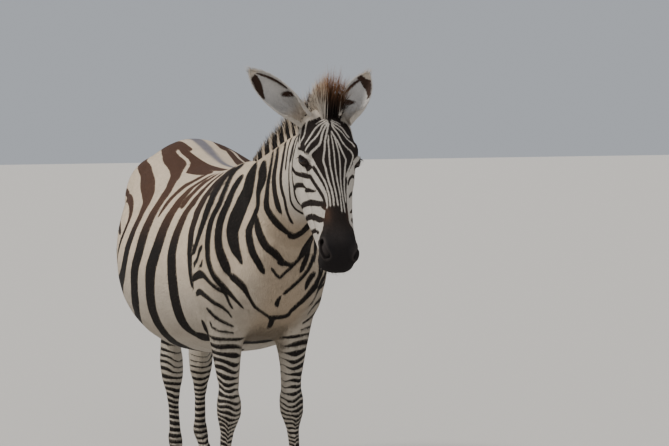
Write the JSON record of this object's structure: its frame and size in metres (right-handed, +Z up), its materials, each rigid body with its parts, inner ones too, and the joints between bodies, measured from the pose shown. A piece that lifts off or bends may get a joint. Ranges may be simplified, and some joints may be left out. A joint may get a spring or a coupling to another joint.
{
  "type": "zebra",
  "caption": "Life-size standing plains zebra mare, round-bellied, with its head turned slightly to one side and its ears spread, as a still museum-style model.",
  "frame": {"origin": "on the floor, under the middle of the whole animal's bounding box", "axes": "+Z up; the animal faces -Y, its left is +X, its tail is at +Y"},
  "size_m": [0.7952, 1.8936, 1.6447],
  "materials": {
    "coat": "short striped hair, dark brown to black on cream and grey-tan",
    "ear_coat": "soft pale hair inside, dark banded outside",
    "mane_hair": "stiff upright hair, banded, rust brown at the tips",
    "tail_hair": "long coarse dark hair",
    "hoof_horn": "worn grey-black horn with growth rings",
    "eyeball": "wet, very dark brown"
  },
  "bodies": {
    "root": {"ear_left": "ear_coat", "ear_right": "ear_coat", "eye_left": "eyeball", "eye_right": "eyeball", "fore_hoof_left": "hoof_horn", "fore_hoof_right": "hoof_horn", "foreleg_left_lower": "coat", "foreleg_left_upper": "coat", "foreleg_right_lower": "coat", "foreleg_right_upper": "coat", "head": "coat", "hind_hoof_left": "hoof_horn", "hind_hoof_right": "hoof_horn", "hindleg_left_lower": "coat", "hindleg_left_upper": "coat", "hindleg_right_lower": "coat", "hindleg_right_upper": "coat", "mane": "mane_hair", "neck": "coat", "tail": "coat", "tail_tuft": "tail_hair", "trunk": "coat"}
  },
  "joints": []
}
